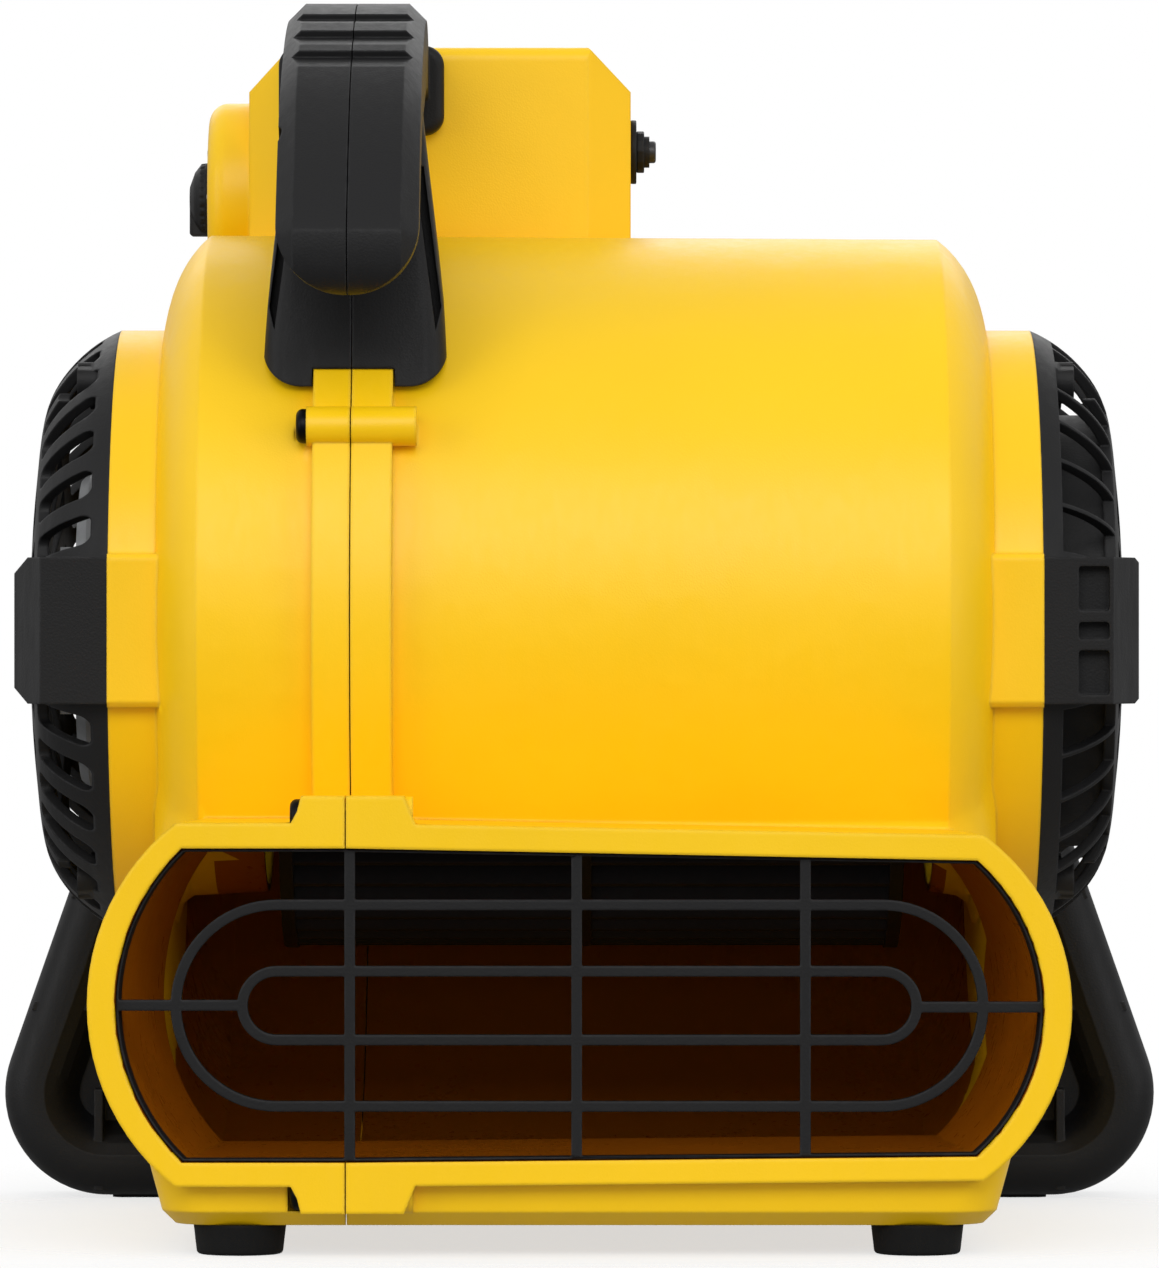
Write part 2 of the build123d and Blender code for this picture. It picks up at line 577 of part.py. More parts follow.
def guard_slots(face_x, depth, fins):
    """The ring of outer slots, with thin fins or broad webs between them, and the inner slots."""
    out = -1 if face_x < 0 else 1
    near, far = face_x + out * (6.0 if fins else 3.5), face_x + out * (depth + 5)
    low, high = sorted((near, far))
    if fins:
        outer = make_face(Polyline((67.0, -5.2), (67.0, 5.2), (87.5, 7.0), (87.5, -7.0), close=True))
    else:
        outer = make_face(Polyline((67.4, -3.4), (67.4, 3.4), (87.3, 4.7), (87.3, -4.7), close=True))
        outer = fillet(outer.vertices(), 2.6)
    inner = make_face(Polyline((33.0, -3.2), (33.0, 3.2), (60.0, 6.8), (60.0, -6.8), close=True))
    inner = fillet(inner.vertices(), 2.0)
    cutters = []
    for step in range(36):
        angle = step * 10.0
        if abs(sin(radians(angle))) < 0.3:
            continue
        spot = yz(low) * Pos(AXIS_Y, AXIS_Z) * Rot(0, 0, angle)
        cutters.append(extrude(spot * outer, high - low))
        if step % 2 == 0:
            cutters.append(extrude(spot * inner, high - low))
    bar = block(low - 1, high + 1, AXIS_Y - 100, AXIS_Y + 100, AXIS_Z - BAND_HALF, AXIS_Z + BAND_HALF)
    return joined(cutters) - bar


def band_pockets(face_x):
    """The three pockets in the front end of a guard's bar, and the block of plastic that they are sunk in."""
    y0, y1 = AXIS_Y - 90.5, AXIS_Y - 83.5
    backing = block(face_x + 7.0, face_x + 21.5, y0, y1, AXIS_Z - 20.0, AXIS_Z + 20.0)
    pockets = []
    for rise, tall in ((-12.2, 13.0), (0.0, 5.0), (12.2, 13.0)):
        low, high = AXIS_Z + rise - tall / 2, AXIS_Z + rise + tall / 2
        pocket = block(face_x + 10.0, face_x + 19.0, y0 - 2.5, y0 + 3.5, low, high)
        pockets.append(fillet(pocket.edges().filter_by(Axis.Y), 1.0))
    return backing, joined(pockets)


def guard(face_x, depth, name, fins):
    """A domed inlet guard with a bar across it, on four screw posts."""
    out = -1 if face_x < 0 else 1
    skin = dome(face_x, depth, 0)
    shell = skin + band(face_x, depth, 0, 1.4 if fins else 4.6)
    shell = shell - dome(face_x, depth, GUARD_WALL) - band(face_x, depth, GUARD_WALL, 0)
    lip_in, lip_out = face_x - out * 1.0, face_x + out * 4.0
    lip = turned([(lip_in, 83.0), (lip_out, 83.0), (lip_out, 86.2), (lip_in, 86.2)])
    shell = shell + (lip & (skin + rod_x(face_x - 6, face_x + 6, AXIS_Y, AXIS_Z, 86.3)))
    shell = shell - guard_slots(face_x, depth, fins)
    if fins:
        low, high = face_x + out * 1.0, face_x + out * 21.3
        shell = shell + turned([(low, 62.4), (high, 62.4), (high, 64.6), (low, 64.6)])
    posts, wells = [], []
    reach = POST_X - 0.2 if out < 0 else RIGHT_POST_X + 0.2
    seat, far = guard_seat(face_x), face_x + out * (depth + 5)
    for angle in GUARD_ANGLES:
        y, z = on_axis(GUARD_SCREW_R, angle)
        post = rod_x(*sorted((reach, seat + out * 4.0)), y, z, 6.2)
        posts.append(post & (skin + rod_x(face_x - 12, face_x + 12, AXIS_Y, AXIS_Z, 86.3)))
        wells.append(rod_x(*sorted((seat, far)), y, z, SCREW_HEAD_R + 0.3))
        wells.append(rod_x(min(reach, far) - 1, max(reach, far) + 1, y, z, SCREW_R + 0.4))
    shell = shell + joined(posts) - joined(wells)
    if fins:
        backing, pockets = band_pockets(face_x)
        shell = shell + (backing & (skin + band(face_x, depth, 0, 1.4))) - pockets
    save(name, shell)
    half_y, half_z = 34.0, 12.5
    x0, x1 = sorted((face_x + out * (depth + 1.4), face_x + out * (depth + 3.0)))
    plate = block(x0, x1, AXIS_Y - half_y, AXIS_Y + half_y, AXIS_Z - half_z, AXIS_Z + half_z)
    plate = fillet(plate.edges().filter_by(Axis.X), 4.0)
    save(name.replace("inlet_guard", "guard_badge"), plate)


# ------------------------------------------------------------------ outlet grille
def racetrack(half_x, half_z):
    """A closed loop with straight sides and round ends, one bar wide."""
    outer = SlotOverall(2 * half_x, 2 * half_z)
    inner = SlotOverall(2 * (half_x - BAR), 2 * (half_z - BAR))
    return extrude(xz(GRILLE_BACK) * Pos(0, GRILLE_Z) * (outer - inner), GRILLE_BACK - GRILLE_FRONT)


def grille():
    """The outlet grille: two loops, crossed by bars, in a thin frame."""
    y0, y1 = GRILLE_FRONT + 0.6, GRILLE_BACK
    parts = [racetrack(115.3, 29.9), racetrack(96.6, 11.2)]
    for x in (-64.8, -0.8, 63.7):
        parts.append(block(x - BAR / 2, x + BAR / 2, y0, y1, 20.0, 125.0))
    for x0, x1, z in ((-136.0, -95.5, 71.3), (94.0, 136.0, 70.8)):
        parts.append(block(x0, x1, y0, y1, z - BAR / 2, z + BAR / 2))
    outer = loft([opening_face(y, 0.3) for y in (y0, y1 + 2.0)])
    inner = loft([opening_face(y, 0.3 + GRILLE_FRAME) for y in (y0 - 0.1, y1 + 2.1)])
    save("outlet_grille", (joined(parts) & outer) + (outer - inner))


# ------------------------------------------------------------------ rear stand and feet
def stand_face(y, inset):
    """The stand seen from the front at y, this far inside its edge: wide below, narrower above."""
    x, z = STAND_HALF - STAND_CORNER, STAND_FLOOR + STAND_CORNER
    low = Sketch() + [Pos(side * x, z) * Circle(STAND_CORNER) for side in (-1, 1)]
    high = [Pos(side * 127.0, STAND_TOP - 10.0) * Circle(10.0) for side in (-1, 1)]
    outline = make_hull((low + high).edges())
    if inset:
        outline = offset(outline, -inset)
    return xz(y) * outline


def stand_dish(grow):
    """The hollow inside the stand's rolled edge, or the skin this thick round it."""
    front = STAND_FRONT + 8.0
    steps = [(-1.0, 11.5), (0.6, 13.5), (2.6, 16.5), (6.0, 19.0), (12.0, 21.0), (16.0, 23.0)]
    return loft([stand_face(front + deep + grow, inset - grow) for deep, inset in steps], ruled=True)


def rear_stand():
    """The loop-shaped stand behind the volute: a hollow rim round a web that is screwed to the base."""
    rim = extrude(stand_face(BACK_Y, 0), BACK_Y - STAND_FRONT - 8.0)
    front_edge = rim.edges().group_by(Axis.Y)[0]
    rim = fillet(front_edge, 10.0) - stand_dish(0.0)
    hollow = extrude(stand_face(BACK_Y + 1, 3.0), BACK_Y - STAND_FRONT - 11.0) - stand_dish(3.0)
    middle = extrude(stand_face(BACK_Y + 1, 36.0), 60.0)
    lining = extrude(stand_face(BACK_Y, 33.0), BACK_Y - STAND_FRONT - 8.0)
    lining = lining - middle
    ribs = []
    for x in (-150.0, -110.0, -60.0, 0.0, 60.0, 110.0, 150.0):
        ribs.append(block(x - 1.3, x + 1.3, STAND_FRONT + 11.0, BACK_Y - 6.0, 1.5, 34.0))
    for z in (60.0, 95.0, 130.0):
        ribs.append(block(-178.0, 178.0, STAND_FRONT + 11.0, BACK_Y - 6.0, z - 1.3, z + 1.3))
    ribs = joined(ribs) & extrude(stand_face(BACK_Y, 1.5), 60.0)
    body = (rim - hollow - middle) + (ribs - middle) + lining
    web = block(-116.0, 116.0, STAND_FRONT, STAND_FRONT + 3.0, 6.0, 62.0)
    struts = joined([rod_y(STAND_FRONT, STAND_SEAT, x, z, 7.0) for x, z in STAND_SCREWS])
    shelf = block(-116.0, 116.0, STAND_FRONT, STAND_FRONT + 12.0, 4.0, 7.0)
    body = body + web + struts + shelf
    body = body - volute(-1.0) - extrude(volute_face(SEAM_X - 12.0, -6.0), 25.0)
    body = body - rod_x(RIGHT_FACE_X - 40, 175.0, AXIS_Y, AXIS_Z, 94.0)
    body = body - rod_x(-175.0, -90.0, AXIS_Y, AXIS_Z, 94.0)
    for y, z in SEAM_SCREWS[3:]:
        body = body - rod_x(-140.0, SEAM_X + BOSS_RIGHT + 2, y, z, BOSS_R + 2.0)
    holes = [rod_y(STAND_FRONT - 1, STAND_SEAT + 1, x, z, SCREW_R + 0.4) for x, z in STAND_SCREWS]
    body = body - joined(holes)
    pads = []
    for side in (-1, 1):
        x0, x1 = sorted((side * PAD_HALF[0], side * PAD_HALF[1]))
        pad = block(x0, x1, 122.0, 146.0, 0.0, 3.2)
        pads.append(fillet(pad.edges().filter_by(Axis.Z), 4.0))
        body = body - block(x0 - 0.1, x1 + 0.1, 121.9, 146.1, -1.0, 3.3)
        body = body + block(x0 - 3, x1 + 3, 119.0, 149.0, 3.3, 6.0)
    save("rear_stand", largest(body))
    save("rear_stand_pads", group(pads))


def feet():
    """The two rubber feet under the front."""
    for name, (x, y) in zip(("foot_front_left", "foot_front_right"), FEET):
        foot = Pos(x, y, BASE_Z / 2) * Cone(12.2, 13.2, BASE_Z)
        foot = fillet(foot.edges().group_by(Axis.Z)[0], 1.2)
        well = Pos(x, y, FOOT_SEAT / 2 - 0.5) * Cylinder(SCREW_HEAD_R + 0.4, FOOT_SEAT + 1.0)
        foot = foot - well - Pos(x, y, 5.0) * Cylinder(SCREW_R + 0.4, 12.0)
        save(name, foot)


# ------------------------------------------------------------------ wheel and motor
def blade_face():
    """One forward-curved blade, as a thin bent strip."""
    inner, outer = WHEEL_INNER_R, WHEEL_R - 1.0
    front = [(inner, 0.0), (inner + 7.5, 1.4), (outer, 6.6)]
    back = [(outer, 8.0), (inner + 7.0, 2.9), (inner, 1.3)]
    tip, root = Line(front[-1], back[0]), Line(back[-1], front[0])
    return make_face(ThreePointArc(*front) + tip + ThreePointArc(*back) + root)


def wheel():
    """The double-inlet wheel: a centre disc, a ring of blades and a ring at each end."""
    middle = yz(WHEEL_LEFT + 1) * Pos(AXIS_Y, AXIS_Z)
    face, long = blade_face(), WHEEL_RIGHT - WHEEL_LEFT - 2
    parts = [extrude(middle * Rot(0, 0, step * 360 / BLADES) * face, long) for step in range(BLADES)]
    low = WHEEL_INNER_R - 0.5
    for x0, x1 in ((WHEEL_LEFT, WHEEL_LEFT + 4), (WHEEL_RIGHT - 4, WHEEL_RIGHT)):
        parts.append(turned([(x0, low), (x1, low), (x1, WHEEL_R), (x0, WHEEL_R)]))
    parts.append(turned([
        (WHEEL_DISC_X, 12.1), (WHEEL_DISC_X + 4, 12.1), (WHEEL_DISC_X + 4, 30.0), (WHEEL_DISC_X + 1.5, 60.0),
        (WHEEL_DISC_X + 1.5, WHEEL_R - 0.5), (WHEEL_DISC_X - 1.5, WHEEL_R - 0.5), (WHEEL_DISC_X - 1.5, 60.0),
        (WHEEL_DISC_X, 30.0),
    ]))
    save("blower_wheel", parts[0].fuse(*parts[1:]))
    x0, x1 = WHEEL_DISC_X - 1.5, WHEEL_DISC_X + 16.0
    hub = turned([
        (x0, SHAFT_R + 0.03), (x1, SHAFT_R + 0.03), (x1, 11.0), (WHEEL_DISC_X + 8, 11.0),
        (WHEEL_DISC_X + 8, 16.0), (WHEEL_DISC_X + 4.1, 16.0), (WHEEL_DISC_X + 4.1, 12.05), (x0, 12.05),
    ])
    hub = hub - hole((WHEEL_DISC_X + 12.0, AXIS_Y, AXIS_Z), (0, 0, 1), 20.0, 2.0)
    save("wheel_hub", hub)
    screw = hole((WHEEL_DISC_X + 12.0, AXIS_Y, AXIS_Z + SHAFT_R - 0.45), (0, 0, 1), 4.6, 1.95)
    save("hub_set_screw", screw)


def motor():
    """The motor: laminations, windings, two end bells, shaft, rotor, bearings and through bolts."""
    flat = SHAFT_R - 0.5
    shaft = rod_x(MOTOR_LEFT - 3.0, WHEEL_DISC_X + 20.0, AXIS_Y, AXIS_Z, SHAFT_R)
    low, high = WHEEL_DISC_X - 4, WHEEL_DISC_X + 21
    shaft = shaft - block(low, high, AXIS_Y - 7, AXIS_Y + 7, AXIS_Z + flat, AXIS_Z + 8)
    save("motor_shaft", shaft)
    left, right = STATOR_LEFT, STATOR_RIGHT
    rotor = turned([
        (left - 6, SHAFT_R), (right + 6, SHAFT_R), (right + 6, 22.0), (right, 22.0),
        (right, 27.4), (left, 27.4), (left, 22.0), (left - 6, 22.0),
    ])
    save("motor_rotor_core", rotor)
    stator = turned([(left, 28.0), (right, 28.0), (right, MOTOR_R), (left, MOTOR_R)])
    bolts = [on_axis(42.5, angle) for angle in (30, 150, 210, 330)]
    stator = stator - joined([rod_x(STATOR_LEFT - 1, STATOR_RIGHT + 1, y, z, 2.1) for y, z in bolts])
    save("motor_stator", stator)
    coils = []
    for x0, x1 in ((STATOR_LEFT - 12, STATOR_LEFT - 0.1), (STATOR_RIGHT + 0.1, STATOR_RIGHT + 12)):
        coil = turned([(x0, 29.0), (x1, 29.0), (x1, 38.5), (x0, 38.5)])
        coils.append(fillet(coil.edges(), 2.5))
    save("motor_windings", group(coils))
    bearings = []
    for name, end, joint_x, out in (
        ("motor_end_bell_outer", MOTOR_LEFT, left, -1), ("motor_end_bell_inner", MOTOR_RIGHT, right, 1)
    ):
        bell = turned([
            (joint_x, 43.5), (end - out * 4, 43.5), (end - out * 4, 16.0), (joint_x + out * 14, 16.0),
            (joint_x + out * 14, 13.0), (end - out * 2, 13.0), (end - out * 2, 7.0), (end, 7.0), (end, 20.0),
            (end - out, MOTOR_R - 3), (end - out * 4, MOTOR_R), (joint_x, MOTOR_R),
        ])
        slots = []
        for step in range(8):
            spot = yz(min(end, end - out * 6)) * Pos(AXIS_Y, AXIS_Z) * Rot(0, 0, 45.0 * step + 22.5)
            slots.append(extrude(spot * Pos(31, 0) * SlotOverall(16.0, 6.0), 6.0))
        bell = bell - joined(slots)
        bosses = [rod_x(*sorted((joint_x, end - out * 2)), y, z, 4.0) for y, z in bolts]
        bell = bell + joined(bosses)
        x0, x1 = min(end, joint_x) - 3, max(end, joint_x) + 3
        bell = bell - joined([rod_x(x0, x1, y, z, 2.1) for y, z in bolts])
        save(name, bell)
        x0, x1 = sorted((joint_x + out * 14.2, end - out * 2.1))
        bearings.append(turned([(x0, SHAFT_R + RUN_FIT), (x1, SHAFT_R + RUN_FIT), (x1, 12.95), (x0, 12.95)]))
    save("motor_bearing_outer", bearings[0])
    save("motor_bearing_inner", bearings[1])
    rods = []
    for y, z in bolts:
        rod = rod_x(MOTOR_LEFT - 0.5, MOTOR_RIGHT + 1.5, y, z, 2.0)
        head = extrude(yz(MOTOR_LEFT - 3.5) * Pos(y, z) * RegularPolygon(4.0, 6), 3.0)
        rods.append(rod + head)
    save("motor_through_bolts", group(rods))


def bracket():
    """The clamp band round the motor with three arms to the inlet, on rubber grommets."""
    fit, outer = MOTOR_R + 0.1, MOTOR_R + 2.2
    body = turned([(-134.0, fit), (-121.0, fit), (-121.0, outer), (-134.0, outer)])
    grommets, openings = [], []
    for angle in BRACKET_ANGLES:
        spot = yz(BRACKET_LEFT) * Pos(AXIS_Y, AXIS_Z) * Rot(0, 0, angle)
        arm = extrude(spot * Pos(65.0, 0) * Rectangle(32.0, 13.0), BRACKET_RIGHT - BRACKET_LEFT)
        eye = extrude(spot * Pos(GUARD_SCREW_R - 3.2, 0) * Rectangle(6.0, 13.0), BRACKET_RIGHT - BRACKET_LEFT)
        y, z = on_axis(GUARD_SCREW_R - 2.0, angle)
        pad = rod_x(BRACKET_LEFT, BRACKET_RIGHT, y, z, 6.5)
        body = body + arm + eye + pad
        y, z = on_axis(GUARD_SCREW_R, angle)
        openings.append(rod_x(BRACKET_LEFT - 1, BRACKET_RIGHT + 1, y, z, 3.9))
        grommet = rod_x(BRACKET_LEFT - 1.5, BRACKET_RIGHT + 0.6, y, z, 3.8)
        grommets.append(grommet - rod_x(-140, -120, y, z, SCREW_R + 0.1))
    save("motor_bracket", body - joined(openings) - rod_x(-140, -120, AXIS_Y, AXIS_Z, fit))
    save("bracket_grommets", group(grommets))


# ------------------------------------------------------------------ controls and electrics
def socket_block(y0, y1, grow):
    """The outlet block's outline between two depths."""
    return block(SOCKET_X - SOCKET_HALF_X - grow, SOCKET_X + SOCKET_HALF_X + grow, y0, y1,
                 SOCKET_Z - SOCKET_HALF_Z - grow, SOCKET_Z + SOCKET_HALF_Z + grow)


def sockets():
    """The double outlet on the back of the box, with its test and reset buttons."""
    body = socket_block(BOX_BACK - 30.0, BOX_BACK + 1.6, 0.0)
    body = fillet(body.edges().filter_by(Axis.Y), 2.0)
    strap = block(SOCKET_X - 15.0, SOCKET_X + 15.0, BOX_BACK - WALL - 2.0, BOX_BACK - WALL - 0.1,
                  SOCKET_Z - 42.0, SOCKET_Z + 39.0)
    cuts = []
    y0, y1 = BOX_BACK - 14.0, BOX_BACK + 3.0
    for middle in (SOCKET_Z - 20.5, SOCKET_Z + 20.5):
        cuts.append(block(SOCKET_X - 7.2, SOCKET_X - 5.0, y0, y1, middle - 2.0, middle + 6.0))
        cuts.append(block(SOCKET_X + 5.2, SOCKET_X + 7.0, y0, y1, middle - 1.0, middle + 5.4))
        cuts.append(rod_y(y0, y1, SOCKET_X, middle - 7.0, 2.5))
    buttons = (("test_button", 4.4), ("reset_button", -4.4))
    for name, dz in buttons:
        z = SOCKET_Z + dz
        low = BOX_BACK - 8.0
        key = block(SOCKET_X - 7.0, SOCKET_X + 7.0, low, BOX_BACK + 3.4, z - 3.0, z + 3.0)
        save(name, chamfer(key.edges().group_by(Axis.Y)[-1], 0.6))
        low = low - PRESS - 0.4
        cuts.append(block(SOCKET_X - 7.2, SOCKET_X + 7.2, low, y1, z - 3.2, z + 3.2))
    save("outlet_receptacle", body - joined(cuts))
    strap = strap - socket_block(BOX_BACK - 12, BOX_BACK + 2, 0.1)
    save("receptacle_strap", strap.solids().sort_by(Axis.Z)[-1] if len(strap.solids()) > 1 else strap)


def speed_knob():
    """The domed knob, ribbed round its side, with a block that points at the marks."""
    face, top, radius = POD_X - 0.6, POD_X - 6.2, 11.3
    side = [(face, 0.0), (face, radius), (face - 2.0, radius - 0.3), (face - 4.0, 8.4)]
    profile = side + [(top, 4.0), (top, 0.0)]
    outline = Polyline(*[(x, KNOB_Y, KNOB_Z + r) for x, r in profile], close=True)
    knob = revolve(make_face(outline), Axis((0, KNOB_Y, KNOB_Z), (1, 0, 0)), 360)
    ribs = []
    for step in range(24):
        angle = radians(15.0 * step)
        y, z = KNOB_Y + 11.5 * cos(angle), KNOB_Z + 11.5 * sin(angle)
        ribs.append(rod_x(top - 1.0, face - 0.8, y, z, 0.85))
    knob = knob - joined(ribs)
    pointer = Polyline((-4.2, -11.2), (4.2, -11.2), (3.4, 0.5), (-3.4, 0.5), close=True)
    arm = extrude(yz(top) * Pos(KNOB_Y, KNOB_Z) * make_face(pointer), face - top)
    arm = fillet(arm.edges().group_by(Axis.X)[0], 1.0)
    save("speed_knob", knob + arm - rod_x(POD_X - 4.1, POD_X, KNOB_Y, KNOB_Z, 3.0))


def breaker():
    """The push-to-reset breaker on the box's right side."""
    x = BOX_RIGHT
    bore = rod_x(x - 1, x + 6, BREAKER_Y, BREAKER_Z, 4.85)
    save("breaker_plate", rod_x(x + 0.1, x + 1.9, BREAKER_Y, BREAKER_Z, 9.8) - bore)
    nut = extrude(yz(x + 1.9) * Pos(BREAKER_Y, BREAKER_Z) * RegularPolygon(6.4, 12), 2.4)
    save("breaker_nut", nut - bore)
    back = x - WALL - 0.3
    body = block(x - 30.0, back, BREAKER_Y - 7, BREAKER_Y + 7, BREAKER_Z - 14, BREAKER_Z + 14)
    neck = rod_x(x - WALL - 1, x + 5.9, BREAKER_Y, BREAKER_Z, 4.8)
    well = rod_x(x - 4.0, x + 7.0, BREAKER_Y, BREAKER_Z, 3.5)
    save("breaker_body", body + neck - well)
    button = rod_x(x - 2.2, x + 7.9, BREAKER_Y, BREAKER_Z, 3.4)
    save("breaker_button", fillet(button.edges().group_by(Axis.X)[-1], 0.8))


def controls():
    """The speed switch and its dial, the capacitor and the cord gland."""
    body = block(-98.0, -76.0, KNOB_Y - 13, KNOB_Y + 13, KNOB_Z - 13, KNOB_Z + 13)
    body = chamfer(body.edges().filter_by(Axis.X), 3.0)
    neck = rod_x(POD_X + 0.4, -97.0, KNOB_Y, KNOB_Z, 5.0)
    bore = rod_x(POD_X - 1, -78.0, KNOB_Y, KNOB_Z, 3.0 + RUN_FIT)
    save("rotary_switch", body + neck - bore)
    save("switch_shaft", rod_x(POD_X - 4.0, -79.0, KNOB_Y, KNOB_Z, 3.0))
    plate = rod_x(POD_X, POD_X + DIAL_T, KNOB_Y, KNOB_Z, DIAL_R)
    plate = plate - rod_x(POD_X - 1, POD_X + 1, KNOB_Y, KNOB_Z, 5.1)
    marks = []
    for angle in (225, 180, 135, 90):
        spot = yz(POD_X - 0.3) * Pos(KNOB_Y, KNOB_Z) * Rot(0, 0, angle) * Pos(17.0, 0)
        marks.append(extrude(spot * SlotOverall(6.0, 1.4), 0.4))
    save("dial_plate", plate + joined(marks))

    can = rod_x(-58.0, -18.0, CAN_Y, CAN_Z, 14.0)
    can = fillet(can.edges(), 1.5)
    save("capacitor", can)
    clip = rod_x(-44.0, -34.0, CAN_Y, CAN_Z, 15.4) - rod_x(-45.0, -33.0, CAN_Y, CAN_Z, 14.05)
    foot = block(-44.0, -34.0, 40.9, 44.5, CAN_Z - 6, CAN_Z + 6) - rod_x(-45.0, -33.0, CAN_Y, CAN_Z, 15.0)
    save("capacitor_clip", clip + foot)

    y = BOX_BACK
    nut = extrude(xz(y + 5.0) * Pos(GLAND_X, GLAND_Z) * RegularPolygon(9.2, 6), 4.9)
    dome_nut = rod_y(y + 5.0, y + 14.0, GLAND_X, GLAND_Z, 7.6)
    dome_nut = fillet(dome_nut.edges().group_by(Axis.Y)[-1], 2.4)
    stem = rod_y(y - 11.0, y + 5.0, GLAND_X, GLAND_Z, GLAND_R)
    save("cord_gland", nut + dome_nut + stem - rod_y(y - 13.0, y + 15.0, GLAND_X, GLAND_Z, CORD_R))
    lock = extrude(xz(y - WALL - 0.1) * Pos(GLAND_X, GLAND_Z) * RegularPolygon(8.9, 6), 4.0)
    save("gland_locknut", lock - rod_y(y - 13.0, y, GLAND_X, GLAND_Z, GLAND_R + 0.1))


def lead():
    """The motor's lead, along its route."""
    path = FilletPolyline(*LEAD, radius=[12.0, 9.0])
    start = Plane(origin=LEAD[0], z_dir=Vector(*LEAD[1]) - Vector(*LEAD[0]))
    save("motor_lead", sweep(start * Circle(LEAD_R), path=path))


# ------------------------------------------------------------------ run
def main():
    left, right = housing()
    save("housing_left", left)
    save("housing_right", right)
    handle()
    guard(LEFT_RING_X, LEFT_DOME, "inlet_guard_left", False)
    guard(RIGHT_RING_X, RIGHT_DOME, "inlet_guard_right", True)
    grille()
    rear_stand()
    feet()
    wheel()
    motor()
    bracket()
    sockets()
    speed_knob()
    breaker()
    controls()
    lead()
    screws()
    os.makedirs("parts", exist_ok=True)
    for name, shape in NODES.items():
        export_step(shape, f"parts/{name}.step")


main()
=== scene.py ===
"""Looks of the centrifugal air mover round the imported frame: materials, edges, floor, light and camera."""
import json
import math

import bpy
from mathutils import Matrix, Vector


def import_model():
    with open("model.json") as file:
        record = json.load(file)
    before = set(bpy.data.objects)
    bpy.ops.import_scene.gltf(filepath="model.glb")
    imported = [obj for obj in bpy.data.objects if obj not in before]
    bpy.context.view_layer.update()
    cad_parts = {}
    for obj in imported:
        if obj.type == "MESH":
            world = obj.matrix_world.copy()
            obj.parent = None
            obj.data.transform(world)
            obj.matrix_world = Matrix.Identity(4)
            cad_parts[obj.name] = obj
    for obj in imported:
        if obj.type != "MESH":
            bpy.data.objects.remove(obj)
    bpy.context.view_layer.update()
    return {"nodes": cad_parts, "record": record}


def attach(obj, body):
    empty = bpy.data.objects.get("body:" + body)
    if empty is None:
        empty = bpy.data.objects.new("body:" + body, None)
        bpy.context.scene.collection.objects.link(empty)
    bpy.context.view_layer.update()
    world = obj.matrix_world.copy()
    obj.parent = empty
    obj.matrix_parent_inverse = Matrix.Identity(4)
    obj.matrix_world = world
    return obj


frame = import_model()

MM = 0.001

# ------------------------------------------------------------------ colours, linear
YELLOW = (0.98, 0.60, 0.003)
YELLOW_WORN = (1.0, 0.70, 0.07)
# painted shade: the darker amber given to the inside of the air path in place of the yellow
PAINTED_SHADE_AMBER = (0.42, 0.115, 0.001)
BLACK = (0.010, 0.010, 0.0105)
# painted highlight and wear: the paler colour that the black parts' edges lighten towards
BLACK_WORN_AND_HIGHLIT = (0.05, 0.05, 0.052)
RUBBER = (0.006, 0.006, 0.006)
RUBBER_WORN = (0.03, 0.03, 0.03)
STEEL = (0.56, 0.57, 0.58)
CAST = (0.5, 0.51, 0.52)
BLACK_OXIDE = (0.012, 0.012, 0.013)

# The colour sockets of a Mix node.
MIX_FIRST, MIX_SECOND, MIX_RESULT = 6, 7, 2
BAND_PERIOD = 0.3142  # how far apart a Wave node of scale 1 sets its bands
BARE_EDGE, FLAT_GROUND = 0.84, 0.99  # how nearly the rounded and the plain direction agree


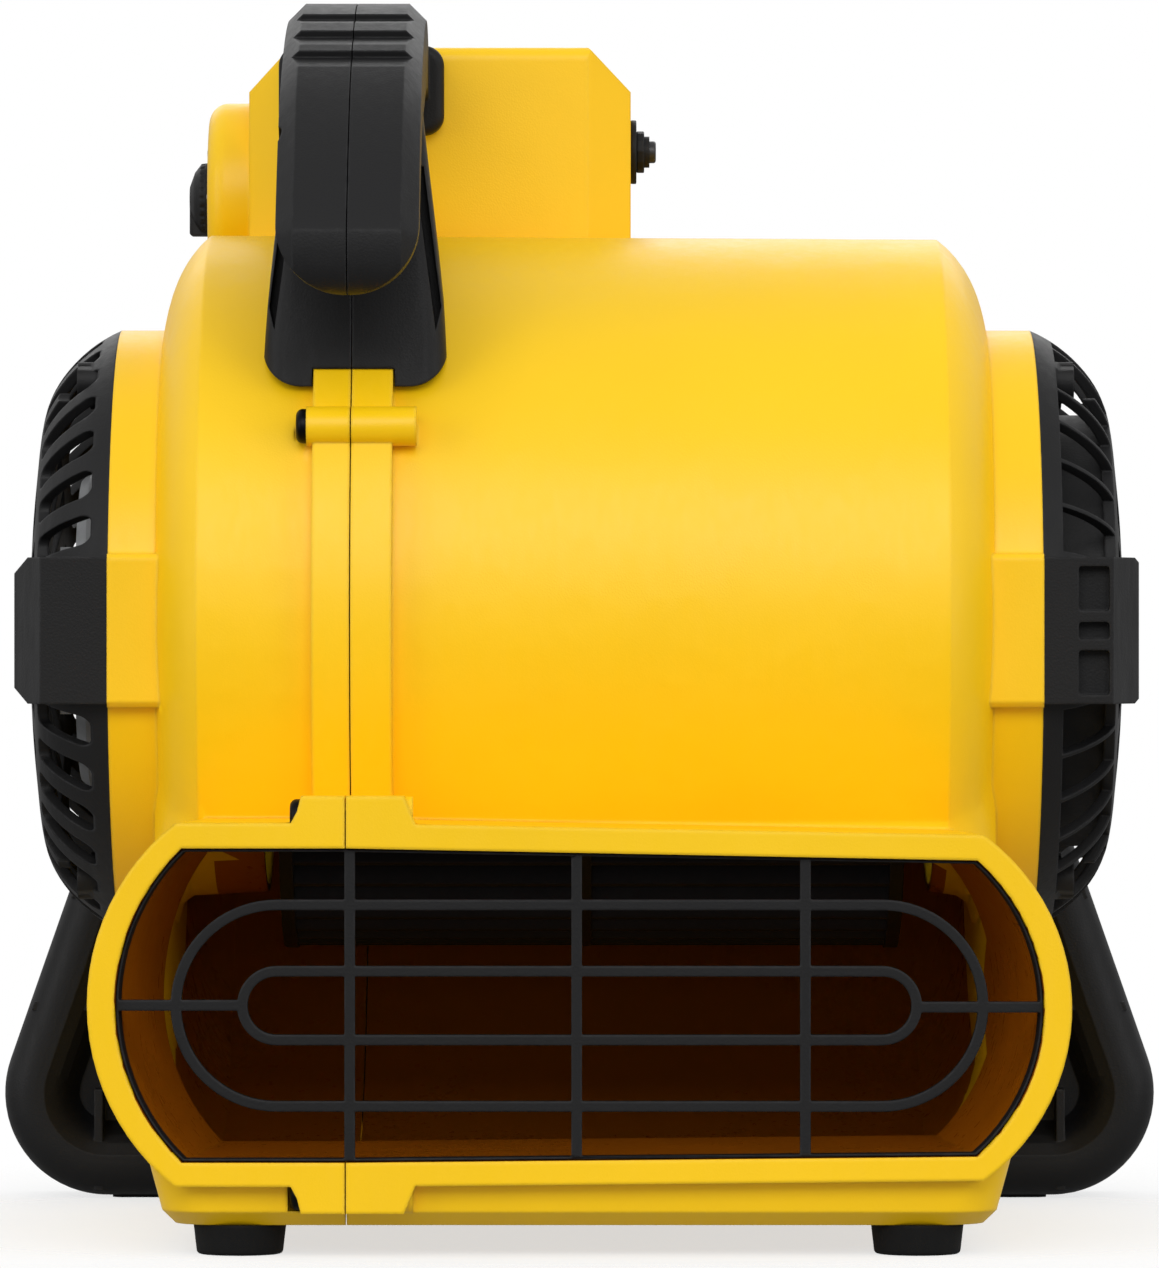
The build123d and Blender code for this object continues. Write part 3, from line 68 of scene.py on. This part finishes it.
# ------------------------------------------------------------------ shader building
class Shader:
    """One node material, built from left to right."""

    def __init__(self, name):
        self.material = bpy.data.materials.new(name)
        self.material.use_nodes = True
        self.tree = self.material.node_tree
        self.tree.nodes.clear()
        self.surface = self.add("ShaderNodeBsdfPrincipled")
        output = self.add("ShaderNodeOutputMaterial")
        self.link(self.surface.outputs[0], output.inputs["Surface"])
        self.place = self.add("ShaderNodeTexCoord").outputs["Object"]

    def add(self, kind, **settings):
        node = self.tree.nodes.new(kind)
        for key, value in settings.items():
            setattr(node, key, value)
        return node

    def link(self, source, target):
        self.tree.links.new(source, target)

    def set(self, **values):
        for key, value in values.items():
            socket = self.surface.inputs[key.replace("_", " ").title().replace("Ior", "IOR")]
            socket.default_value = (*value, 1.0) if isinstance(value, tuple) else value

    def stretched(self, scale):
        node = self.add("ShaderNodeMapping")
        node.inputs["Scale"].default_value = scale
        self.link(self.place, node.inputs["Vector"])
        return node.outputs[0]

    def noise(self, size, detail=3.0, rough=0.5, place=None):
        """Noise with features of about this size in metres."""
        node = self.add("ShaderNodeTexNoise")
        node.inputs["Scale"].default_value = 1.0 / size
        node.inputs["Detail"].default_value = detail
        node.inputs["Roughness"].default_value = rough
        self.link(place or self.place, node.inputs["Vector"])
        return node.outputs["Fac"]

    def cells(self, size):
        """Soft round cells of about this size in metres."""
        node = self.add("ShaderNodeTexVoronoi", feature="SMOOTH_F1")
        node.inputs["Scale"].default_value = 1.0 / size
        node.inputs["Smoothness"].default_value = 0.4
        self.link(self.place, node.inputs["Vector"])
        return node.outputs["Distance"]

    def bands(self, size, distortion=0.0):
        """Bands across X, this far apart in metres."""
        node = self.add("ShaderNodeTexWave", wave_type="BANDS", bands_direction="X")
        node.inputs["Scale"].default_value = BAND_PERIOD / size
        node.inputs["Distortion"].default_value = distortion
        self.link(self.place, node.inputs["Vector"])
        return node.outputs["Fac"]

    def remap(self, value, low, high, to_low=0.0, to_high=1.0):
        node = self.add("ShaderNodeMapRange")
        self.link(value, node.inputs["Value"])
        for key, number in (("From Min", low), ("From Max", high), ("To Min", to_low), ("To Max", to_high)):
            node.inputs[key].default_value = number
        return node.outputs["Result"]

    def math(self, operation, first, second):
        node = self.add("ShaderNodeMath", operation=operation)
        for socket, value in zip(node.inputs, (first, second)):
            if isinstance(value, (int, float)):
                socket.default_value = value
            else:
                self.link(value, socket)
        return node.outputs[0]

    def mix(self, factor, first, second):
        node = self.add("ShaderNodeMix", data_type="RGBA")
        self.link(factor, node.inputs["Factor"])
        for socket, value in ((node.inputs[MIX_FIRST], first), (node.inputs[MIX_SECOND], second)):
            if isinstance(value, tuple):
                socket.default_value = (*value, 1.0)
            else:
                self.link(value, socket)
        return node.outputs[MIX_RESULT]

    def bump(self, height, depth, normal=None):
        """Raises the surface by up to depth metres where height is 1."""
        node = self.add("ShaderNodeBump")
        node.inputs["Strength"].default_value = 1.0
        node.inputs["Distance"].default_value = depth
        self.link(height, node.inputs["Height"])
        if normal:
            self.link(normal, node.inputs["Normal"])
        return node.outputs[0]

    def rounded(self, radius):
        """The surface's direction with its edges rounded over this radius."""
        node = self.add("ShaderNodeBevel", samples=4)
        node.inputs["Radius"].default_value = radius
        return node.outputs[0]

    def edges(self, rounded):
        """1 on outside and inside edges, 0 on flat ground."""
        plain = self.add("ShaderNodeNewGeometry")
        dot = self.add("ShaderNodeVectorMath", operation="DOT_PRODUCT")
        self.link(rounded, dot.inputs[0])
        self.link(plain.outputs["Normal"], dot.inputs[1])
        return self.remap(dot.outputs["Value"], FLAT_GROUND, BARE_EDGE)


def moulded(name, colour, worn_and_highlit, roughness, grain, depth, wear_and_highlight, radius=0.9 * MM):
    """Moulded plastic: fine spark grain, slow gloss changes, faint scuffs and soft edges lightened towards a
    paler colour: rubbed wear, and on the black parts also a painted highlight.

    Grain is the grain's size, depth its height, wear_and_highlight how far an edge is lightened and radius
    the edge's own.
    """
    s = Shader(name)
    soft = s.rounded(radius)
    tone = s.noise(60 * MM, 2.0)
    colour_slow = s.mix(s.remap(tone, 0.3, 0.7, 0.0, 1.0), tuple(c * 0.955 for c in colour), colour)
    # Edges lighten towards the paler colour: rubbed wear, and on the black parts also a painted highlight
    # along the edges.
    rubbed_and_highlit = s.math("MULTIPLY", s.edges(soft), s.remap(s.noise(4 * MM, 4.0), 0.38, 0.62, 0.1, wear_and_highlight))
    s.link(s.mix(rubbed_and_highlit, colour_slow, worn_and_highlit), s.surface.inputs["Base Color"])
    scuff = s.noise(3 * MM, 5.0, 0.65, s.stretched((1.0, 1.0, 0.22)))
    gloss = s.math("ADD", s.remap(tone, 0.3, 0.7, -0.03, 0.03), s.remap(scuff, 0.35, 0.65, -0.035, 0.045))
    fine = s.math("ADD", s.cells(grain), s.math("MULTIPLY", s.noise(grain * 0.45, 2.0), 0.5))
    total = s.math("ADD", s.math("ADD", gloss, roughness), s.math("MULTIPLY", rubbed_and_highlit, 0.08))
    s.link(total, s.surface.inputs["Roughness"])
    s.link(s.bump(fine, depth, soft), s.surface.inputs["Normal"])
    return s


def yellow_shell():
    s = moulded("yellow_shell", YELLOW, YELLOW_WORN, roughness=0.38, grain=0.55 * MM, depth=0.018 * MM,
                wear_and_highlight=0.35, radius=1.6 * MM)
    s.set(specular_ior_level=0.35)
    return s.material


def painted_shade_amber_material():
    # Painted shade: the yellow plastic darkened to amber where the duct and volute lie in shade.
    s = moulded("yellow_painted_shade_inside", PAINTED_SHADE_AMBER, YELLOW, roughness=0.3, grain=0.9 * MM, depth=0.012 * MM, wear_and_highlight=0.15)
    s.set(specular_ior_level=0.3)
    return s.material


def black_plastic():
    s = moulded("black_plastic", BLACK, BLACK_WORN_AND_HIGHLIT, roughness=0.5, grain=0.7 * MM, depth=0.035 * MM, wear_and_highlight=0.6)
    s.set(specular_ior_level=0.2)
    return s.material


def black_smooth():
    s = moulded("black_smooth", BLACK, BLACK_WORN_AND_HIGHLIT, roughness=0.33, grain=0.5 * MM, depth=0.010 * MM, wear_and_highlight=0.5)
    return s.material


def rubber():
    s = moulded("rubber", RUBBER, RUBBER_WORN, roughness=0.72, grain=0.35 * MM, depth=0.05 * MM, wear_and_highlight=0.4)
    s.set(specular_ior_level=0.15)
    return s.material


def metal(name, colour, roughness, streak=(1.0, 0.05, 0.05), depth=0.006 * MM):
    """Bare metal with slow tarnish and fine lines, long where streak is small."""
    s = Shader(name)
    s.set(metallic=1.0)
    lines = s.noise(0.35 * MM, 4.0, 0.6, s.stretched(streak))
    tarnish = s.noise(9 * MM, 4.0)
    shade = s.mix(s.remap(tarnish, 0.35, 0.7), colour, tuple(c * 0.8 for c in colour))
    s.link(shade, s.surface.inputs["Base Color"])
    along = s.remap(lines, 0.3, 0.7, roughness - 0.06, roughness + 0.08)
    dulled = s.remap(tarnish, 0.4, 0.7, 0, 0.07)
    s.link(s.math("ADD", along, dulled), s.surface.inputs["Roughness"])
    s.link(s.bump(lines, depth), s.surface.inputs["Normal"])
    return s.material


def laminations():
    """The edges of stacked steel sheets."""
    s = Shader("lamination_steel")
    s.set(metallic=1.0)
    sheets = s.bands(0.5 * MM)
    s.link(s.mix(sheets, (0.05, 0.05, 0.055), (0.22, 0.22, 0.24)), s.surface.inputs["Base Color"])
    s.link(s.remap(s.noise(2 * MM), 0.3, 0.7, 0.35, 0.55), s.surface.inputs["Roughness"])
    s.link(s.bump(sheets, 0.08 * MM), s.surface.inputs["Normal"])
    return s.material


def windings():
    """Bundles of enamelled copper wire."""
    s = Shader("copper_windings")
    s.set(metallic=0.85)
    wires = s.bands(0.6 * MM, distortion=1.5)
    s.link(s.mix(wires, (0.16, 0.035, 0.01), (0.62, 0.2, 0.07)), s.surface.inputs["Base Color"])
    s.link(s.remap(s.noise(3 * MM), 0.3, 0.7, 0.25, 0.42), s.surface.inputs["Roughness"])
    s.link(s.bump(wires, 0.2 * MM), s.surface.inputs["Normal"])
    return s.material


def satin(name, colour, roughness):
    """Small smooth mouldings: buttons, plates and the like."""
    worn_and_highlit = tuple(min(1.0, c * 1.3) for c in colour)
    return moulded(name, colour, worn_and_highlit, roughness, grain=0.4 * MM, depth=0.008 * MM, wear_and_highlight=0.2).material


MATERIALS = {
    "yellow_shell": yellow_shell(),
    "black_plastic": black_plastic(),
    "badge_plate": black_smooth(),
    "dial_grey": satin("dial_grey", (0.55, 0.55, 0.54), 0.4),
    "rubber": rubber(),
    "black_screw": metal("black_oxide", BLACK_OXIDE, 0.38),
    "zinc_steel": metal("zinc_steel", STEEL, 0.34),
    "bright_steel": metal("bright_steel", (0.62, 0.62, 0.63), 0.2),
    "lamination_steel": laminations(),
    "cast_aluminium": metal("cast_aluminium", CAST, 0.5, streak=(1.0, 1.0, 1.0), depth=0.04 * MM),
    "bronze": metal("bronze", (0.38, 0.2, 0.08), 0.42),
    "copper": windings(),
    "breaker_red": satin("breaker_button", (0.02, 0.02, 0.021), 0.35),
    "receptacle_dark": satin("receptacle_dark", (0.035, 0.035, 0.037), 0.36),
    "test_black": satin("test_button", (0.02, 0.02, 0.02), 0.35),
    "reset_red": satin("reset_button", (0.42, 0.012, 0.008), 0.35),
    "can_grey": satin("can_grey", (0.55, 0.56, 0.58), 0.35),
    "lead_black": rubber(),
}


# ------------------------------------------------------------------ CAD nodes
WELD_REACH, EDGE_RADIUS = 0.002 * MM, 0.35 * MM
EDGE_ANGLE = math.radians(32)  # a bend below this is part of a curve and stays


def soften(node):
    """Joins a CAD node's faces and rounds its edges by a small radius, so they catch the light."""
    weld = node.modifiers.new("weld", "WELD")
    weld.merge_threshold = WELD_REACH
    bevel = node.modifiers.new("edge_radius", "BEVEL")
    bevel.width = EDGE_RADIUS
    bevel.segments = 2
    bevel.limit_method = "ANGLE"
    bevel.angle_limit = EDGE_ANGLE
    bevel.use_clamp_overlap = True
    bevel.harden_normals = True
    bevel.miter_outer = "MITER_ARC"
    node.modifiers.new("even_normals", "WEIGHTED_NORMAL").keep_sharp = True


# The shape that the CAD gives the air path, in mm. The volute's outer radius goes by the angle about the fan
# axis, and its inside is what lies beyond the wheel, within the skin and between the side walls.
VOLUTE = ((-95, 157.0), (-90, 157.0), (-45, 148.0), (0, 137.0), (45, 127.0), (90, 118.5), (135, 115.5),
          (180, 113.0), (210, 111.5))
AXIS = (10.0, 177.0)  # y and z
WHEEL_REACH, SKIN, SIDE_WALL = 96.0, 1.4, 121.5
SEAM_X = -66.0
# The outlet duct narrows from front to back: a flat middle, by its half width, between two bulging sides.
DUCT_FRONT, DUCT_BACK = -155.0, 20.0
DUCT_LOW, DUCT_HIGH = 26.0, 117.0
FLAT_HALF, FLAT_TAPER = 113.0, 17.2
BULGE, BULGE_TAPER = 19.0, 3.0
BULGE_Z, BULGE_HALF = 71.3, 45.5
DUCT_MIDDLE_Z = 71.0


def volute_radius(turn):
    """The volute's outer radius in mm at this angle, in degrees from the back over the top."""
    turn = turn + 360.0 if turn < -95.0 else turn
    for (a0, r0), (a1, r1) in zip(VOLUTE, VOLUTE[1:]):
        if a0 <= turn <= a1:
            return r0 + (r1 - r0) * (turn - a0) / (a1 - a0)
    return 0.0


def in_air_path(place, normal):
    """Whether a face of the housing lies on the inner side of the outlet duct or of the volute."""
    x, y, z = (c / MM for c in place)
    share = (y - DUCT_FRONT) / (DUCT_BACK - DUCT_FRONT)
    if 0.01 < share < 1.0 and DUCT_LOW < z < DUCT_HIGH:
        flat, bulge = FLAT_HALF - FLAT_TAPER * share, BULGE - BULGE_TAPER * share
        if abs(x) < flat + bulge * (1.0 - ((z - BULGE_Z) / BULGE_HALF) ** 2):
            return normal.x * x + normal.z * (z - DUCT_MIDDLE_Z) < 1.0
    outward = Vector((0.0, y - AXIS[0], z - AXIS[1]))
    turn = math.degrees(math.atan2(outward.z, outward.y))
    if not WHEEL_REACH < outward.length < volute_radius(turn) - SKIN:
        return False
    return abs(x) < SIDE_WALL and normal.dot(outward) < 0.0


def paint_shade_inside(node, material):
    """Gives the polygons inside the air path their own, darker amber material: painted shade for the dim
    inside of the duct and volute.
    """
    node.data.materials.append(material)
    for face in node.data.polygons:
        face.material_index = int(in_air_path(face.center, face.normal))


SLOTS = {part["node"]: part["material_slot"] for part in frame["record"]["subparts"]}
for name, node in frame["nodes"].items():
    node.data.materials.clear()
    node.data.materials.append(MATERIALS[SLOTS[name]])
# Painted shade: the faces inside the duct and volute get the darker amber material.
PAINTED_SHADE_INSIDE = painted_shade_amber_material()
for name in ("housing_left", "housing_right"):
    paint_shade_inside(frame["nodes"][name], PAINTED_SHADE_INSIDE)


def seam_bead():
    """The sealing bead that fills the gap between the housing halves round the back of the volute."""
    half, inner, outer = 0.15, -1.6, 2.5  # half its thickness; how far its edges lie from the volute's radius
    turns = range(-75, 60, 5)
    verts, faces = [], []
    for turn in turns:
        y, z = math.cos(math.radians(turn)), math.sin(math.radians(turn))
        for x, grow in ((-half, inner), (half, inner), (half, outer), (-half, outer)):
            out = volute_radius(turn) + grow
            verts.append(((SEAM_X + x) * MM, (AXIS[0] + out * y) * MM, (AXIS[1] + out * z) * MM))
    last = 4 * (len(turns) - 1)
    for ring in range(0, last, 4):
        for i in range(4):
            a, b = ring + i, ring + (i + 1) % 4
            faces.append((a, b, b + 4, a + 4))
    faces += [(3, 2, 1, 0), (last, last + 1, last + 2, last + 3)]
    mesh = bpy.data.meshes.new("seam_bead")
    mesh.from_pydata(verts, [], faces)
    mesh.materials.append(MATERIALS["black_plastic"])
    bead = bpy.data.objects.new("seam_bead", mesh)
    bpy.context.scene.collection.objects.link(bead)
    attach(bead, "machine")


seam_bead()


# ------------------------------------------------------------------ floor, light and camera
AIM = Vector((0, 0, 0.17))  # where the lamps point
WHITE = (1.0, 1.0, 1.0, 1.0)


def floor():
    """A pale round floor that fades into the white surroundings."""
    rim, steps = 1.2, 96
    near, far, strongest = 0.14, 0.40, 0.36  # the fade's start and end, and the alpha before it
    turns = [2 * math.pi * k / steps for k in range(steps)]
    mesh = bpy.data.meshes.new("floor")
    mesh.from_pydata([(rim * math.cos(a), rim * math.sin(a), 0.0) for a in turns], [], [list(range(steps))])
    disc = bpy.data.objects.new("floor", mesh)
    bpy.context.scene.collection.objects.link(disc)
    s = Shader("floor")
    s.set(base_color=(0.93, 0.93, 0.93), roughness=0.7, specular_ior_level=0.15)
    reach = s.add("ShaderNodeVectorMath", operation="LENGTH")
    s.link(s.stretched((1.0, 1.15, 1.0)), reach.inputs[0])
    s.link(s.remap(reach.outputs["Value"], near, far, strongest, 0.0), s.surface.inputs["Alpha"])
    disc.data.materials.append(s.material)


def softbox(name, place, size, power):
    light = bpy.data.lights.new(name, "AREA")
    light.shape = "RECTANGLE"
    light.size, light.size_y = size
    light.energy = power
    lamp = bpy.data.objects.new(name, light)
    lamp.location = place
    lamp.rotation_euler = (AIM - Vector(place)).to_track_quat("-Z", "Y").to_euler()
    bpy.context.scene.collection.objects.link(lamp)


def world():
    """White as the camera sees it; as a light on the object it is bright above and dim below."""
    below, above = -0.35, 0.4  # the heights of the ray's direction between which it brightens
    dim, bright = 0.2, 0.7
    sky = bpy.data.worlds.new("studio")
    bpy.context.scene.world = sky
    sky.use_nodes = True
    tree = sky.node_tree
    tree.nodes.clear()

    def add(kind, **settings):
        node = tree.nodes.new(kind)
        for key, value in settings.items():
            setattr(node, key, value)
        return node

    def remap(source, low, high, to_low, to_high):
        node = add("ShaderNodeMapRange", interpolation_type="SMOOTHSTEP")
        tree.links.new(source, node.inputs["Value"])
        for key, number in (("From Min", low), ("From Max", high), ("To Min", to_low), ("To Max", to_high)):
            node.inputs[key].default_value = number
        return node.outputs[0]

    direction = add("ShaderNodeSeparateXYZ")
    tree.links.new(add("ShaderNodeTexCoord").outputs["Generated"], direction.inputs[0])
    room = add("ShaderNodeBackground")
    room.inputs["Color"].default_value = WHITE
    tree.links.new(remap(direction.outputs["Z"], below, above, dim, bright), room.inputs["Strength"])
    seen = add("ShaderNodeBackground")
    seen.inputs["Color"].default_value = WHITE
    blend = add("ShaderNodeMixShader")
    tree.links.new(add("ShaderNodeLightPath").outputs["Is Camera Ray"], blend.inputs[0])
    tree.links.new(room.outputs[0], blend.inputs[1])
    tree.links.new(seen.outputs[0], blend.inputs[2])
    tree.links.new(blend.outputs[0], add("ShaderNodeOutputWorld").inputs[0])


def camera():
    """Level with the middle of the object and far in front of it, through a long lens."""
    eye = bpy.data.cameras.new("camera")
    eye.lens = 255.5
    eye.sensor_width = 36.0
    eye.clip_end = 20.0
    view = bpy.data.objects.new("camera", eye)
    view.location = (0.0, -2.69, 0.176)
    view.rotation_euler = (math.radians(90), 0, 0)
    bpy.context.scene.collection.objects.link(view)
    bpy.context.scene.camera = view


floor()
softbox("front", (0.0, -2.3, 1.45), (2.4, 1.2), 31)
softbox("left", (-1.7, -0.9, 0.6), (0.9, 1.3), 8)
softbox("right", (1.7, -0.9, 0.6), (0.9, 1.3), 7)
softbox("back", (0.0, 1.6, 1.1), (1.8, 0.8), 7)
world()
camera()
bpy.context.scene.view_settings.view_transform = "Standard"

for name, node in frame["nodes"].items():
    soften(node)
